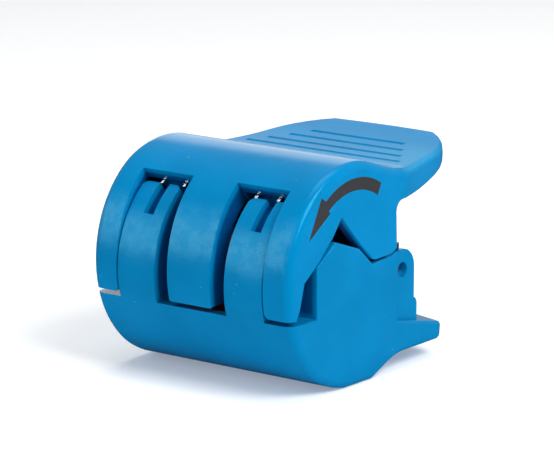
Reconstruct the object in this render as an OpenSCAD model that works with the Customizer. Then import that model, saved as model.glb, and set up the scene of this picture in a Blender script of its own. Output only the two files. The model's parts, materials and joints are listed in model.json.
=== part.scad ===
// Spring-loaded rotary cable tool: two interlocking moulded jaws on one hinge.
// Axes: X across the width, -Y the jaw side, +Y the grip side, Z up from the base.
// The jaw drum's axis runs along X, above the origin. Sizes are in millimetres.

/* [Jaw drum] */
// Width across the side faces
width = 41; // [37:0.5:45]
// Outer radius of the jaw drum
jaw_r = 19.2; // [18.6:0.1:19.8]
// Reach of the flat that the tool stands on, in front of the drum's axis
base_front = 3; // [2:0.1:4]
// Reach of that flat behind the drum's axis
base_rear = 4.5; // [3:0.1:5]
// Wall of the moulded shells
wall = 2.2; // [1.8:0.1:2.5]
// Thickness of the side walls
side_wall = 2.2; // [1.8:0.1:2.4]
// Rounding of the drum's rims at the seam
rim_r = 1.6; // [1:0.1:1.8]
// Rounding of the lower body's rims at the base
base_rim_r = 1.2; // [1:0.1:2.4]

/* [Lower body] */
// Height of the ledge that the lever's bands close on
ledge_z = 13.5; // [12.5:0.1:14]
// Front face of the wall behind the outer bands, from the drum's axis
recess_y = 11.4; // [10.8:0.1:12]
// Height of the cheek's peak
peak_z = 25.4; // [24.8:0.1:25.6]
// Depth of the V in the cheek, below its rear corner
vee_depth = 0.8; // [0.5:0.1:1.4]
// Where the side walls end at the rear
cheek_rear = 11.4; // [11:0.1:11.5]
// Height of the side walls' rear corner
cheek_rear_z = 20.6; // [20.3:0.1:20.8]

/* [Fingers] */
// Inner edge of a finger, from the middle
finger_in = 7.3; // [6.8:0.1:7.8]
// Outer edge of a finger, from the middle
finger_out = 15; // [14:0.1:15]
// Angle of a finger's tip above the drum's axis
finger_tip = 48.5; // [44:0.5:49]
// How far a finger's tip leans in from the drum's skin
finger_lean = 1.5; // [0.8:0.1:1.8]
// Thickness of the ribs along the edges of the fingers and the middle band
rib_w = 1.3; // [1:0.1:1.6]
// Width of the notch in a finger's tip
notch_w = 2.1; // [1.4:0.1:2.6]
// Angle of the notch's floor above the drum's axis
notch_floor = 29.5; // [26:0.5:34]
// How far a notch sits to the right of its finger's middle
notch_shift = 0.4; // [0:0.1:1.2]

/* [Finger flange] */
// Height of the flange's underside above the base
flange_z = 2.85; // [2.6:0.05:3.4]
// Height of the flange's top at its root
flange_root_z = 8.6; // [8.2:0.1:9]
// Height of the flange's top at its rear edge
flange_tip_z = 6; // [5.6:0.1:6.6]
// Reach of the flange's rear edge at the sides
flange_y = 24.4; // [23.5:0.1:26]
// How much further the flange's rear edge reaches in the middle
flange_bulge = 3.4; // [2:0.1:4]
// Radius that blends the drum into the flange's underside
underside_r = 15; // [12:1:18]

/* [Thumb lever] */
// Gap between the bands and the ledge
band_gap = 0.8; // [0.5:0.1:1]
// Inner edge of the outer bands, from the middle
band_in = 15.3; // [15.3:0.1:15.8]
// Half width of the middle band
middle_band = 4.6; // [4:0.1:5]
// Angle at which the slots between the bands end, above the drum's axis
slot_end = 52.5; // [51.5:0.5:56]
// Depth of the middle band's ribs, from the drum's skin
band_depth = 4; // [3:0.1:4.4]
// Gap along the seam between the cheeks
seam_gap = 0.35; // [0.3:0.05:0.5]
// Apex of the cable notch in the lever's side walls, in front of the axis
apex_y = 4.6; // [4.2:0.1:5]
// Height of the cable notch's apex
apex_z = 29.1; // [28.6:0.1:29.6]
// Rear face of the lever's rear wall
lever_rear = 11.2; // [10.9:0.1:11.2]
// Radius of the crown between the drum and the neck
crown_r = 12.5; // [11:0.5:14]
// How far the crown's top lies inside the drum's circle
crown_drop = 0.45; // [0.2:0.05:0.6]
// Slope of the neck behind the crown, in degrees
neck_slope = 17.8; // [16:0.2:20]
// Length of the neck's straight slope
neck_run = 5.9; // [5:0.1:6.4]
// Radius of the dip where the thumb lies
dip_r = 22; // [20:1:24]
// Radius of the rise towards the pad's tip
rise_r = 108; // [95:1:130]

/* [Thumb pad] */
// Reach of the pad's tip
pad_end = 35.4; // [34.5:0.1:37]
// Thickness of the pad at its tip
pad_tip = 2.6; // [2.4:0.1:3]
// Where the pad starts to narrow
taper_start = 14.5; // [13:0.5:16]
// Angle at which each side of the pad narrows
taper_angle = 12.4; // [10:0.2:14]
// Corner radius of the pad
pad_corner = 12; // [9:0.1:12.6]
// How much further the pad's tip reaches in the middle
pad_bow = 2; // [1:0.1:2.4]
// Height of the pad's underside at the neck
pad_under = 29.1; // [28.8:0.1:29.6]
// Number of grip grooves
groove_n = 4; // [3:1:4]
// Distance between grooves
groove_pitch = 3.5; // [3.2:0.1:4]
// Place of the first groove
groove_y = 17.6; // [17:0.1:18.5]
// Half length of the first groove
groove_half = 16.2; // [14:0.1:16.5]
// How much shorter each next groove is, at each end
groove_step = 2.1; // [1.8:0.1:2.4]

/* [Hinge] */
// Distance of the hinge pin behind the drum's axis
hinge_y = 13.9; // [13.8:0.1:14.2]
// Height of the hinge pin
hinge_z = 16.85; // [16.6:0.05:17]
// Diameter of the hinge pin
pin_d = 2.5; // [2.2:0.1:2.8]
// Length of the hinge pin
pin_len = 36.4; // [35.6:0.1:37]
// Clearance between the pin and its holes, on the radius
pin_fit = 0.05; // [0.02:0.01:0.08]
// Radius of the ears
ear_r = 3.5; // [3.2:0.1:3.6]
// Thickness of an ear
ear_t = 2.3; // [2:0.1:2.6]
// How far the ears stand inside the side faces
ear_inset = 0.9; // [0.6:0.1:1.2]
// Radius of the lever's knuckles
knuckle_r = 3.1; // [2.9:0.1:3.3]
// Width of a knuckle
knuckle_w = 3.2; // [2.6:0.1:3.2]

/* [Torsion springs] */
// Diameter of the spring wire
wire_d = 0.7; // [0.6:0.05:0.7]
// Mean radius of the coils
coil_r = 2.1; // [2:0.05:2.15]
// Full turns in each coil
coil_turns = 5; // [4:1:5]

/* [Cable bed] */
// Width of the bed's stem
stem_w = 13.4; // [12:0.2:13.6]
// Depth of the cable groove
groove_depth = 2.2; // [1.6:0.1:2.6]
// Gap between the bed's top and the edges of the inner blades, with the jaws shut
bed_gap = 1.8; // [1.5:0.1:2.2]
// Height of the bed's plate, from the rails to its top
bed_h = 7.7; // [7:0.1:8.5]
// Clearance around the bed
bed_fit = 0.2; // [0.1:0.05:0.3]

/* [Blades] */
// Thickness of a blade
blade_t = 0.5; // [0.3:0.05:0.6]
// Width of the block that parts the two blades of a pair
step_w = 4.1; // [3.6:0.1:4.3]
// Distance of each block's middle from the side face
block_inset = 10.7; // [10.2:0.1:10.9]
// Width of a blade's cutting edge
cut_w = 6; // [4:0.5:7]
// Reach of the inner blades below the shell's roof
inner_reach = 9.95; // [9:0.05:10.2]
// Reach of the outer blades below the shell's roof
outer_reach = 8.75; // [8:0.05:9]
// Height of the blocks under the roof
block_h = 7.05; // [6:0.05:7.2]
// Distance of the clamping screws below the roof
screw_drop = 4.55; // [4:0.05:5]
// Diameter of the clamping screws
screw_d = 2; // [1.6:0.1:2.2]

/* [Hidden] */
blue = "#0a86c8";
steel = "#b9bec4";
red = "#a81e22";
eps = 0.01;
// Faces and roundings that would only touch are set apart by this, so that the cuts stay clean
hair = 0.05;
half_w = width / 2;
jaw_z = sqrt(pow(jaw_r, 2) - pow(base_front, 2));
inner_r = jaw_r - wall;
roof_z = jaw_z + inner_r;
inner_x = half_w - side_wall;
arc_step = 5;

// ---- outlines in the side view: points are [y, z], angles turn from +Y up to +Z ----
function unit(v) = v / norm(v);
function reversed(v) = [for (i = [len(v) - 1:-1:0]) v[i]];
function polar(c, r, a) = [c.x + r * cos(a), c.y + r * sin(a)];
// Points on an arc, about arc_step degrees apart
function arc(c, r, a0, a1, step = arc_step) =
    let (n = max(2, ceil(abs(a1 - a0) / step)))
    [for (i = [0:n]) polar(c, r, a0 + (a1 - a0) * i / n)];
// Adds the edge rounding that a stretch of outline takes, and its share of the rear bulge
function edged(points, r, bulge = 0) = [for (p = points) [p.x, p.y, r, bulge]];
// Drops the points that repeat the one before them
function without_repeats(o) =
    [for (i = [0:len(o) - 1]) let (q = o[(i + len(o) - 1) % len(o)])
        if (norm([o[i].x - q.x, o[i].y - q.y]) > 0.02) o[i]];
// Inward direction at point i of an outline that runs anticlockwise, unless the point carries its own
function inward(o, i) = len(o[i]) > 4 ? o[i][4]
    : let (n = len(o),
         a = [o[(i + n - 1) % n].x, o[(i + n - 1) % n].y],
         b = [o[i].x, o[i].y],
         c = [o[(i + 1) % n].x, o[(i + 1) % n].y],
         u = unit(b - a),
         v = unit(c - b),
         m = unit([-u.y - v.y, u.x + v.x]))
    m / max(0.6, m * [-v.y, v.x]);

// Cuts a flat cap into triangles, ear by ear; v lists the corners left, as places in the points p
function turn(a, b, c) = cross(b - a, c - b);
function holds(a, b, c, q) = turn(a, b, q) >= 0 && turn(b, c, q) >= 0 && turn(c, a, q) >= 0;
function is_ear(p, v, k) =
    let (n = len(v), i = (k + n - 1) % n, j = (k + 1) % n, a = p[v[i]], b = p[v[k]], c = p[v[j]])
    turn(a, b, c) > 0
        && len([for (m = [0:n - 1]) if (m != i && m != k && m != j && holds(a, b, c, p[v[m]])) m]) == 0;
function first_ear(p, v, k = 0) = k == len(v) - 1 || is_ear(p, v, k) ? k : first_ear(p, v, k + 1);
function ears(p, v) = len(v) < 4 ? [v]
    : let (n = len(v), k = first_ear(p, v))
    concat([[v[(k + n - 1) % n], v[k], v[(k + 1) % n]]], ears(p, [for (i = [0:n - 1]) if (i != k) v[i]]));

// A solid between the two side faces: an outline with rounded side edges.
// Points with a bulge of 1 move back by bulge in the middle. The first and last of the 2 * pairs
// leading points, and so on inwards, lie at one y each: there the side face may follow a taper.
rim_steps = 4;
module moulding(outline, bulge = 0, middle = 1, pairs = 0) {
    n = len(outline);
    normals = [for (i = [0:n - 1]) inward(outline, i)];
    // Stations run from the left face to the right one: [side, rim angle, share across]
    stations = concat([for (k = [rim_steps:-1:0]) [-1, 90 * k / rim_steps, 1]],
                      [for (k = [1:1:middle - 1]) [0, 0, 2 * k / middle - 1]],
                      [for (k = [0:rim_steps]) [1, 90 * k / rim_steps, 1]]);
    points = [for (s = stations, i = [0:n - 1])
        let (p = outline[i],
             shift = p.z * (1 - cos(s[1])),
             flat = (pairs > 0 ? half_width(p.x + normals[i].x * shift) : half_w) - p.z,
             x = s[0] == 0 ? s[2] * flat : s[0] * (flat + p.z * sin(s[1])),
             back = p[3] * bulge * (1 - pow(x / half_w, 2)))
        [x, p.x + normals[i].x * shift + back, p.y + normals[i].y * shift]];
    last = len(stations) - 1;
    sides = [for (s = [0:last - 1], i = [0:n - 1], t = [0, 1])
        let (j = (i + 1) % n, a = s * n + i, b = s * n + j)
        t == 0 ? [a, b + n, b] : [a, a + n, b + n]];
    cap = ears([for (i = [0:n - 1]) [points[i].y, points[i].z]],
               [for (i = [max(0, 2 * pairs - 1):n - (pairs > 0 ? 0 : 1)]) i % n]);
    strips = [for (i = [0:1:pairs - 2], t = [0, 1])
        t == 0 ? [i, i + 1, 2 * pairs - 2 - i] : [i, 2 * pairs - 2 - i, 2 * pairs - 1 - i]];
    caps = concat(cap, strips);
    polyhedron(points = points, convexity = 8,
               faces = concat(sides, caps, [for (f = caps) [for (i = reversed(f)) last * n + i]]));
}

// Extrudes a side-view drawing along X, between x0 and x1
module across(x0, x1)
    translate([x0, 0, 0]) rotate([90, 0, 90]) linear_extrude(x1 - x0) children();

// Repeats its children on both sides of the middle plane
module both_sides() {
    children();
    mirror([1, 0, 0]) children();
}

// ---- half width: full at the drum, then the pad's taper and round corners ----
corner_y = pad_end - pad_corner;
taper_end = corner_y + pad_corner * sin(taper_angle);
corner_x = half_w - (taper_end - taper_start) * tan(taper_angle) - pad_corner * cos(taper_angle);
function half_width(y) =
    y <= taper_start ? half_w
    : y <= taper_end ? half_w - (y - taper_start) * tan(taper_angle)
    : corner_x + sqrt(max(0, pow(pad_corner, 2) - pow(y - corner_y, 2)));

// ---- lower body's outline ----
blend_y = sqrt(pow(jaw_r + underside_r, 2) - pow(jaw_z - flange_z + underside_r, 2));
blend_a = atan2(flange_z - underside_r - jaw_z, blend_y);
// Where a line from the flat's rear end meets the drum's skin without a corner
touch_a = atan2(-jaw_z, base_rear) + acos(min(1, jaw_r / norm([base_rear, jaw_z])));
peak_y = -6.3;
flank_y = 0.4;
flank_z = 23.1;
vee_y = 4.2;
vee_z = cheek_rear_z - vee_depth;
recess_top = peak_z - 3.4;
band_edge_z = peak_z - 4.7;
tip_r = 1.1;
root_r = 0.6;
function drum(a) = polar([0, jaw_z], jaw_r, a);
ledge_a = 180 + asin((jaw_z - ledge_z) / jaw_r);
flat_a = asin(base_front / jaw_r);
// Rounding of the drum's rim at an angle, from the ledge to the base
function rim_at(a) = rim_r + (base_rim_r - rim_r) * min(1, (a - ledge_a) / 60);
// A point where the drum's skin ends in a level face: its rounded rim is cut off level there
function level_rim(p, r, a) = [p.x, p.y, r, 0, [-1 / cos(a), 0]];
// Top line of the flange
function flange_top(y) = flange_root_z
    + (flange_tip_z - flange_root_z) * (y - cheek_rear) / (flange_y - cheek_rear);
body_outline = without_repeats(concat(
    [level_rim(drum(ledge_a), rim_at(ledge_a), ledge_a)],
    [for (a = [for (i = [1:15]) ledge_a + (270 - flat_a - ledge_a) * i / 15])
        [drum(a).x, drum(a).y, rim_at(a), 0]],
    edged([[base_rear, 0]], base_rim_r - 0.2),
    edged([for (i = [0:5]) drum(touch_a + (blend_a - touch_a) * i / 5)], base_rim_r - 0.3),
    edged(arc([blend_y, flange_z - underside_r], underside_r, blend_a + 180 - 4, 90), 0.9),
    edged([[(blend_y + flange_y) / 2, flange_z]], 0.8, 0.5),
    edged(arc([flange_y - tip_r, flange_z + tip_r], tip_r, -90, 0, 22), 0.8, 1),
    edged(arc([flange_y - 0.8, flange_tip_z - 0.8], 0.8, 0, 80, 22), 0.6, 1),
    edged([[cheek_rear + 5, flange_top(cheek_rear + 5)]], 0.5, 0.5),
    edged(arc([cheek_rear + root_r, flange_top(cheek_rear + root_r) + root_r], root_r, 260, 180, 30), 0.4),
    edged([[cheek_rear, cheek_rear_z], [cheek_rear - 1.8, cheek_rear_z - 0.5], [vee_y, vee_z],
           [flank_y, flank_z], [peak_y, peak_z]], 0.35),
    edged([[-recess_y, recess_top], [-recess_y, ledge_z]], 0.3)));

// ---- lever's outline: the top line, then the underside and the seam ----
crown = [0, jaw_z + jaw_r - crown_drop - crown_r];
neck_a = polar(crown, crown_r, 90 - neck_slope);
neck_b = neck_a + neck_run * [cos(neck_slope), -sin(neck_slope)];
dip = neck_b + dip_r * [sin(neck_slope), cos(neck_slope)];
rise = [dip.x, dip.y - dip_r + rise_r];
tip_a = asin((pad_end - pad_tip / 2 - rise.x) / rise_r);
tip_c = polar(rise, rise_r + pad_tip / 2, 270 + tip_a);
band_z = ledge_z + band_gap;
band_a = 180 + asin((jaw_z - band_z) / jaw_r);
// How far the skin lies inside the drum's circle at an angle: it falls smoothly above the slots
function crown_fall(a) =
    let (t = max(0, min(1, (180 - slot_end - a) / (90 - slot_end))))
    crown_drop * t * t * (3 - 2 * t);
// The lever's top line, d below its surface, from the bands' lower ends to the pad's tip
function top_line(d, start = band_a) = concat(
    let (n = ceil((start - 90) / 4)) [for (i = [0:n], a = [start + (90 - start) * i / n])
        polar([0, jaw_z], jaw_r - d - crown_fall(a), a)],
    arc(crown, crown_r - d, 90, 90 - neck_slope),
    arc(dip, dip_r + d, 270 - neck_slope, 270, 4),
    arc(rise, rise_r + d, 270, 270 + tip_a, 2));
// Rounding of the pad's rim at y: it shrinks towards the tip
under_rim = 0.9;
function pad_rim(y) = under_rim + (rim_r - under_rim) * (tip_c.x - y) / (tip_c.x - taper_start);
// Height of the top line at y, in the dip and on the rise
function pad_top(y) = y < rise.x ? dip.y - sqrt(pow(dip_r, 2) - pow(y - dip.x, 2))
    : rise.y - sqrt(pow(rise_r, 2) - pow(y - rise.x, 2));
fillet_r = 1.8;
under_y = lever_rear + fillet_r;
under_end = tip_c.y - pad_tip / 2;
under_r = (pow(tip_c.x - under_y, 2) + pow(under_end - pad_under, 2)) / 2 / (under_end - pad_under);
// Height of the pad's underside at y
function pad_bottom(y) = pad_under + under_r - sqrt(pow(under_r, 2) - pow(y - under_y, 2));
corner_end = asin((tip_c.x - corner_y) / pad_corner);
pad_rows = concat([for (i = [0:6]) taper_start + (taper_end - taper_start) * i / 7],
                  [for (i = [0:5], a = [taper_angle + (corner_end - taper_angle) * i / 5])
                      corner_y + pad_corner * sin(a)]);
tip_turn = [for (a = [25:25:75]) a];
pad_pairs = len(pad_rows) + len(tip_turn);
// Share of the tip's bow that the pad has at y
function bow(y) = pow((y - taper_start) / (tip_c.x - taper_start), 2);
lever_outline = without_repeats(concat(
    [for (y = pad_rows) [y, pad_bottom(y), under_rim, bow(y)]],
    edged([for (a = tip_turn) polar(tip_c, pad_tip / 2, a - 90)], under_rim, 1),
    edged([for (a = reversed(tip_turn)) polar(tip_c, pad_tip / 2, 90 - a)], under_rim, 1),
    [for (y = reversed(pad_rows)) [y, pad_top(y), pad_rim(y), bow(y)]],
    edged(reversed([for (p = top_line(0)) if (p.x < taper_start - 0.5 && p != drum(band_a)) p]), rim_r),
    [level_rim(drum(band_a), rim_r, band_a)],
    edged([polar([0, jaw_z], inner_r - 0.15, band_a - 0.4), [-15.9, band_z + 1.7],
           [-14.7, band_edge_z - 0.6], [-11.2, band_edge_z + 1.8], [-7, peak_z + 0.8],
           [-apex_y, apex_z], [flank_y + seam_gap, flank_z + seam_gap + 0.1],
           [vee_y - 0.1, vee_z + 2 * seam_gap + 0.1], [vee_y + 0.9, vee_z + seam_gap + 0.15],
           [cheek_rear - 1.8, cheek_rear_z - 0.5 + seam_gap],
           [lever_rear, cheek_rear_z + seam_gap + 0.15]], 0.3),
    edged(reversed(arc([under_y, pad_under - fillet_r], fillet_r, 95, 180, 18)), 0.6)));

// ---- lower body ----
module lower_body()
    color(blue)
    difference() {
        union() {
            difference() {
                moulding(body_outline, flange_bulge, 8);
                body_cavity();
            }
            both_sides() recess_lining();
            both_sides() finger_blank();
            both_sides() ear();
            spring_rest();
            both_sides() bed_rib();
            both_sides() bed_rail();
        }
        finger_tips();
        across(-half_w, half_w) translate([hinge_y, hinge_z]) circle(d = pin_d + 2 * pin_fit, $fn = 48);
    }

floor_z = flange_z + wall;
rest_t = 1.5;
rest_y = hinge_y + 2.8;
rest_top = 10.4;
recess_wall = 2;
ear_out = half_w - ear_inset;
ear_in = ear_out - ear_t;
// The inside of the drum, and behind it the room for the hinge and the springs
module body_cavity() {
    across(-inner_x, inner_x) translate([0, jaw_z]) circle(r = inner_r, $fn = 144);
    across(-ear_in, ear_in) translate([hinge_y - 5.4, floor_z]) square([rest_y - hinge_y + 5.4, 2 * jaw_r]);
}

// Shelf and wall that close the recess behind each outer band, a hair inside the cheek's edges
root = 0.5;
module recess_lining() {
    wall_y = recess_wall - recess_y;
    slope = (peak_z - recess_top) / (recess_y + peak_y);
    skin_r = inner_r + wall / 2;
    across(finger_out, inner_x + root) polygon([
        [hair - recess_y, recess_top - hair], [hair - recess_y, ledge_z - hair],
        [-sqrt(pow(skin_r, 2) - pow(jaw_z - ledge_z, 2)), ledge_z - hair],
        [-sqrt(pow(skin_r, 2) - pow(jaw_z - ledge_z + wall, 2)), ledge_z - wall],
        [wall_y, ledge_z - wall], [wall_y, recess_top + slope * recess_wall - 2 * hair]]);
}

// A finger's skin is an arc that leaves the drum's skin at the ledge and leans in towards its tip
tip_angle = 180 - finger_tip;
lean = finger_lean / (1 - cos(ledge_a - tip_angle));
finger_r = jaw_r - lean;
finger_c = polar([0, jaw_z], lean, ledge_a);
finger_back = finger_r - wall - hair;
// The point at a finger's tip on the circle of radius r about the finger's centre
function at_tip(r) = polar([0, jaw_z], lean * cos(tip_angle - ledge_a)
                           + sqrt(pow(r, 2) - pow(lean * sin(tip_angle - ledge_a), 2)), tip_angle);
// The least distance of a finger's inner face from the hinge
finger_reach = norm(at_tip(finger_back) - [hinge_y, hinge_z]);
// A finger before its tip is shaped, with a rib along each edge clear of the blades' path
module finger_blank() {
    across(finger_in, finger_out) difference() {
        finger_side();
        translate(finger_c) circle(r = finger_back, $fn = 144);
    }
    for (rib = [[finger_in, finger_reach + hair], [finger_out - rib_w, finger_reach - 0.8]])
        across(rib.x, rib.x + rib_w) difference() {
            finger_side();
            translate([hinge_y, hinge_z]) circle(r = rib.y, $fn = 144);
        }
}
module finger_side()
    polygon(concat(arc(finger_c, finger_r, ledge_a, turned(at_tip(finger_r) - finger_c), 4),
                   [[0, jaw_z], polar([0, jaw_z], inner_r, ledge_a + 6)]));
// The angle of a direction that points up
function turned(v) = atan2(v.y, v.x);

// Rounds the corners of the fingers' tips and cuts the notches, square to the skin there
tip_corner = 1.3;
corner_seat = tip_corner - hair;
module finger_tips() {
    middle = (finger_in + finger_out) / 2;
    floor_t = jaw_r * sin(finger_tip - notch_floor);
    for (side = [-1, 1])
        // The drawing's X is the tool's X, and its Y runs up the skin from the tip
        translate([0, 0, jaw_z]) rotate([90 - finger_tip, 0, 0])
            translate([side * middle, 0, jaw_r - band_depth - 3]) linear_extrude(band_depth + 4) {
                translate([notch_shift - notch_w / 2, -floor_t]) square([notch_w, floor_t + 2]);
                for (end = [-1, 1], cut = [end * (finger_out - finger_in) / 2])
                    difference() {
                        translate([cut - tip_corner, -tip_corner]) square(2 * tip_corner);
                        translate([cut - end * corner_seat, -corner_seat]) circle(r = tip_corner, $fn = 32);
                    }
            }
}

// An ear with its inner boss; the pin's holes are drilled in lower_body
boss_r = 2.5;
boss_t = 0.9;
foot_top = 11.3;
foot_rear = rest_y + rest_t + hair;
module ear() {
    across(ear_in, ear_out) {
        translate([hinge_y, hinge_z]) circle(r = ear_r, $fn = 96);
        translate([hinge_y - ear_r, floor_z]) square([2 * ear_r, hinge_z - floor_z]);
        polygon([[hinge_y, floor_z], [foot_rear, floor_z], [foot_rear, foot_top - 0.8],
                 [foot_rear - 0.5, foot_top], [hinge_y, foot_top]]);
    }
    across(ear_in - boss_t, ear_in + root) translate([hinge_y, hinge_z]) circle(r = boss_r, $fn = 48);
}

// Low cross wall behind the hinge, which the springs' lower legs press on
module spring_rest()
    across(-ear_out, ear_out) translate([rest_y, flange_z + 1]) square([rest_t, rest_top - flange_z - 1]);

// Ribs that hold the bed's stem, and rails in the cheeks that its plate lies on
rib_t = 1.3;
module bed_rib()
    across(stem_w / 2 + bed_fit, stem_w / 2 + bed_fit + rib_t) intersection() {
        translate([0, jaw_z]) circle(r = inner_r + wall / 2, $fn = 96);
        translate([bed_front - 0.6, 0]) square([bed_rear - bed_front - 1, 8.5]);
    }
rail_t = 1.5;
module bed_rail() {
    front = recess_wall - recess_y - root;
    across(inner_x - 1.6, inner_x + root)
        translate([front, bed_z - rail_t]) square([bed_rear - front, rail_t]);
}

// ---- cable bed: a red block with a V groove for the cable ----
bed_top = roof_z - inner_reach - bed_gap;
bed_z = bed_top - bed_h;
bed_front = 4.6 - inner_r;
bed_rear = 2.8;
plate_front = recess_wall - recess_y + bed_fit;
vee_c = -4.4;
groove_w = 6;
module cable_bed()
    color(red) {
        across(-inner_x + bed_fit, inner_x - bed_fit)
            polygon([[plate_front, bed_z], [bed_rear, bed_z], [bed_rear, bed_top - 4.8],
                     [0.4, bed_top - 1.9], [vee_c + groove_w / 2, bed_top - 0.5],
                     [vee_c, bed_top - 0.5 - groove_depth], [vee_c - groove_w / 2, bed_top],
                     [plate_front, bed_top - 2.2]]);
        across(-stem_w / 2, stem_w / 2) intersection() {
            polygon([[bed_front, 0], [bed_rear - 2, 0], [bed_rear - 2, bed_z + eps],
                     [plate_front, bed_z + eps], [bed_front, bed_z - 3.3]]);
            translate([0, jaw_z]) circle(r = inner_r - bed_fit / 4, $fn = 144);
        }
    }

// ---- thumb lever ----
module thumb_lever()
    color(blue)
    difference() {
        union() {
            difference() {
                union() {
                    difference() {
                        moulding(lever_outline, pad_bow, 8, pad_pairs);
                        lever_cavity();
                    }
                    both_sides() band_rib();
                }
                front_slots();
                pad_pocket();
                grip_grooves();
            }
            both_sides() blade_block();
            both_sides() knuckle();
        }
        across(-half_w, half_w) translate([hinge_y, hinge_z]) circle(d = pin_d + 2 * pin_fit, $fn = 48);
        both_sides() across(0, block_x + step_w) screw_hole();
    }

// The side view of a clamping screw's hole, in the blocks and the blades
module screw_hole() translate([screw_y, screw_z]) circle(d = screw_d + 0.1, $fn = 32);

// The inside of the shell, open below, up to the rear wall
module lever_cavity()
    across(-inner_x, inner_x) intersection() {
        polygon(concat([[-jaw_r, 0]], top_line(wall, 200), [[pad_end, 0]]));
        translate([-jaw_r - 1, ledge_z - 2]) square([jaw_r + 1 + lever_rear - wall, 3 * jaw_r]);
    }

// Rib along an edge of the middle band; the slots cut its outer face flush with the band's
module band_rib()
    across(middle_band - rib_w, middle_band + root) difference() {
        polygon(concat(arc([0, jaw_z], jaw_r - wall / 2, band_a, 180 - slot_end - 14, 4),
                       [[0, jaw_z], [0, band_z]]));
        translate([0, jaw_z]) circle(r = jaw_r - band_depth, $fn = 144);
        translate([-jaw_r, 0]) square([jaw_r, band_z + 0.3]);
    }

// The slots that part the middle band from the outer ones, below the slot's end angle
band_corner = 1.2;
module front_slots()
    intersection() {
        rotate([90, 0, 0]) linear_extrude(2 * jaw_r) both_sides() {
            polygon([[middle_band - 0.25, ledge_z - 2], [middle_band, jaw_z + jaw_r],
                     [band_in, jaw_z + jaw_r], [band_in, ledge_z - 2]]);
            corner_cut(band_in, band_z, 1, band_corner);
            corner_cut(middle_band - 0.22, band_z, -1, band_corner / 2);
        }
        across(-half_w, half_w)
            polygon([[0, jaw_z], polar([0, jaw_z], 3 * jaw_r, 180 - slot_end), [-3 * jaw_r, 0], [0, 0]]);
    }
// Rounds a band's lower corner at x; side is +1 where the band lies to the right of it
module corner_cut(x, z, side, r)
    difference() {
        translate([x - (side < 0 ? r : 0), z - r]) square([r, 2 * r]);
        translate([x + side * (r - hair), z + r - hair]) circle(r = r, $fn = 32);
    }

// Hollow under the pad, with stiffening ribs left standing
pocket_rib = 1.4;
module pad_pocket() {
    edge = 2;
    front = lever_rear + 2;
    end = pad_end - 8;
    rows = [for (i = [0:12]) front + (end - front) * i / 12];
    difference() {
        intersection() {
            across(-half_w, half_w) polygon(concat(
                [[front, pad_under - 3]],
                [for (p = top_line(wall)) if (p.x > front - 2 && p.x < pad_end - 1) p],
                [[pad_end, pad_under - 3]]));
            linear_extrude(3 * jaw_r) polygon(concat([for (y = rows) [half_width(y) - edge, y]],
                                                     [for (y = reversed(rows)) [edge - half_width(y), y]]));
        }
        for (x = [-1, 0, 1])
            translate([x * 8.5 - pocket_rib / 2, front - 1, pad_under]) cube([pocket_rib, end, 6]);
    }
}

groove_r = 0.6;
groove_d = 0.42;
module grip_grooves()
    for (i = [0:groove_n - 1]) {
        y = groove_y + i * groove_pitch;
        half = groove_half - i * groove_step;
        translate([-half, y, pad_top(y) + groove_r - groove_d])
            rotate([0, 90, 0]) cylinder(r = groove_r, h = 2 * half, $fn = 24);
    }

// Knuckle that turns on the pin, with its arm from the rear wall
module knuckle()
    across(knuckle_in, knuckle_in + knuckle_w) {
        translate([hinge_y, hinge_z]) circle(r = knuckle_r, $fn = 96);
        polygon([[lever_rear - wall, pad_under - 5], [lever_rear, pad_under - 5],
                 polar([hinge_y, hinge_z], knuckle_r, 50), [hinge_y, hinge_z],
                 polar([hinge_y, hinge_z], knuckle_r, 200), [lever_rear - wall, cheek_rear_z + 0.3]]);
    }

// Block under the roof that a pair of blades is bolted to, astride the cable groove
block_x = half_w - block_inset;
block_front = vee_c - cut_w / 2 - 2.2;
block_rear = vee_c + cut_w / 2 + 0.6;
block_z = roof_z - block_h;
screw_y = vee_c + 0.8;
screw_z = roof_z - screw_drop;
module blade_block()
    across(block_x - step_w / 2, block_x + step_w / 2) intersection() {
        translate([0, jaw_z]) circle(r = inner_r + wall / 2, $fn = 144);
        translate([block_front, block_z]) square([block_rear - block_front, jaw_r]);
    }

// ---- blades, screws and nuts ----
// A blade at x that reaches down to height edge_z
module blade(x, edge_z)
    color(steel) across(x, x + blade_t) difference() {
        intersection() {
            polygon([[block_front - 0.7, block_z - 0.3], [vee_c - cut_w / 2, edge_z],
                     [vee_c + cut_w / 2, edge_z], [block_rear, block_z - 0.7],
                     [block_rear, jaw_z + jaw_r], [block_front - 0.7, jaw_z + jaw_r]]);
            translate([0, jaw_z]) circle(r = inner_r - crown_drop - 0.15, $fn = 144);
            translate([hinge_y, hinge_z]) circle(r = finger_reach - 0.5, $fn = 144);
        }
        screw_hole();
    }
module inner_blade_right() blade(block_x - step_w / 2 - blade_t, roof_z - inner_reach);
module outer_blade_right() blade(block_x + step_w / 2, roof_z - outer_reach);
module inner_blade_left() mirror([1, 0, 0]) inner_blade_right();
module outer_blade_left() mirror([1, 0, 0]) outer_blade_right();

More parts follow.
